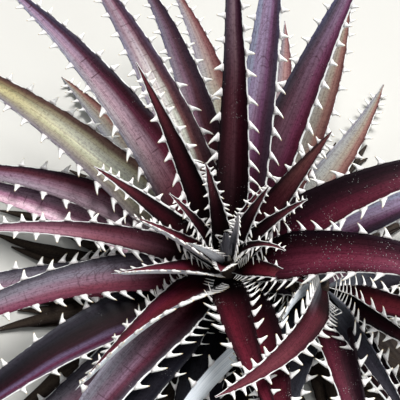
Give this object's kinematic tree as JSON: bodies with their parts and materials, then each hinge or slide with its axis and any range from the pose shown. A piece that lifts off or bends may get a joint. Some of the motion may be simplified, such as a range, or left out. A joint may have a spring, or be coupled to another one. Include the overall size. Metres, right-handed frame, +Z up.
{
  "type": "dyckia bromeliad plant",
  "caption": "Succulent rosette of stiff, tapering, channelled leaves with hooked spines along both margins, and a smaller offset rosette on a short runner; cut foot, no pot.",
  "frame": {"origin": "middle of the stem's flat cut foot, on the surface the plant rests on", "axes": "+Z up along the main rosette's stem; -Y towards the viewer, the offset rosette on the +X -Y side"},
  "size_m": [0.479, 0.4951, 0.1743],
  "materials": {
    "leaf_maroon": "waxy deep maroon leaf, darker at the base, pale silver underside",
    "leaf_purple": "waxy purple leaf with a blue-grey bloom and maroon margins",
    "leaf_cream": "older leaf with a cream to pale green middle and purple margins",
    "leaf_olive": "older leaf with an olive-grey middle and orange-red margins",
    "leaf_silver": "pale silver scurf with fine lengthwise lines, on undersides and buds",
    "stem": "dry brown stem with leaf scars"
  },
  "bodies": {
    "root": {"stem": "stem", "crown_bud": "leaf_silver", "offset_bud": "leaf_silver", "leaf_01": "leaf_maroon", "leaf_02": "leaf_maroon", "leaf_03": "leaf_maroon", "leaf_04": "leaf_maroon", "leaf_05": "leaf_maroon", "leaf_06": "leaf_maroon", "leaf_07": "leaf_maroon", "leaf_08": "leaf_maroon", "leaf_09": "leaf_maroon", "leaf_10": "leaf_maroon", "leaf_11": "leaf_maroon", "leaf_12": "leaf_maroon", "leaf_13": "leaf_maroon", "leaf_14": "leaf_maroon", "leaf_15": "leaf_maroon", "leaf_16": "leaf_maroon", "leaf_17": "leaf_maroon", "leaf_18": "leaf_maroon", "leaf_19": "leaf_maroon", "leaf_20": "leaf_purple", "leaf_21": "leaf_maroon", "leaf_22": "leaf_purple", "leaf_23": "leaf_purple", "leaf_24": "leaf_purple", "leaf_25": "leaf_purple", "leaf_26": "leaf_purple", "leaf_27": "leaf_purple", "leaf_28": "leaf_purple", "leaf_29": "leaf_cream", "leaf_30": "leaf_maroon", "leaf_31": "leaf_purple", "leaf_32": "leaf_cream", "leaf_33": "leaf_olive", "leaf_34": "leaf_olive", "leaf_35": "leaf_purple", "leaf_36": "leaf_purple", "leaf_37": "leaf_purple", "leaf_38": "leaf_purple", "leaf_39": "leaf_purple", "leaf_40": "leaf_purple", "leaf_41": "leaf_purple", "leaf_42": "leaf_purple", "leaf_43": "leaf_purple", "leaf_44": "leaf_purple", "leaf_45": "leaf_purple", "offset_leaf_01": "leaf_maroon", "offset_leaf_02": "leaf_maroon", "offset_leaf_03": "leaf_maroon", "offset_leaf_04": "leaf_maroon", "offset_leaf_05": "leaf_maroon", "offset_leaf_06": "leaf_maroon", "offset_leaf_07": "leaf_maroon", "offset_leaf_08": "leaf_maroon", "offset_leaf_09": "leaf_maroon", "offset_leaf_10": "leaf_maroon", "offset_leaf_11": "leaf_maroon", "offset_leaf_12": "leaf_silver"}
  },
  "joints": []
}
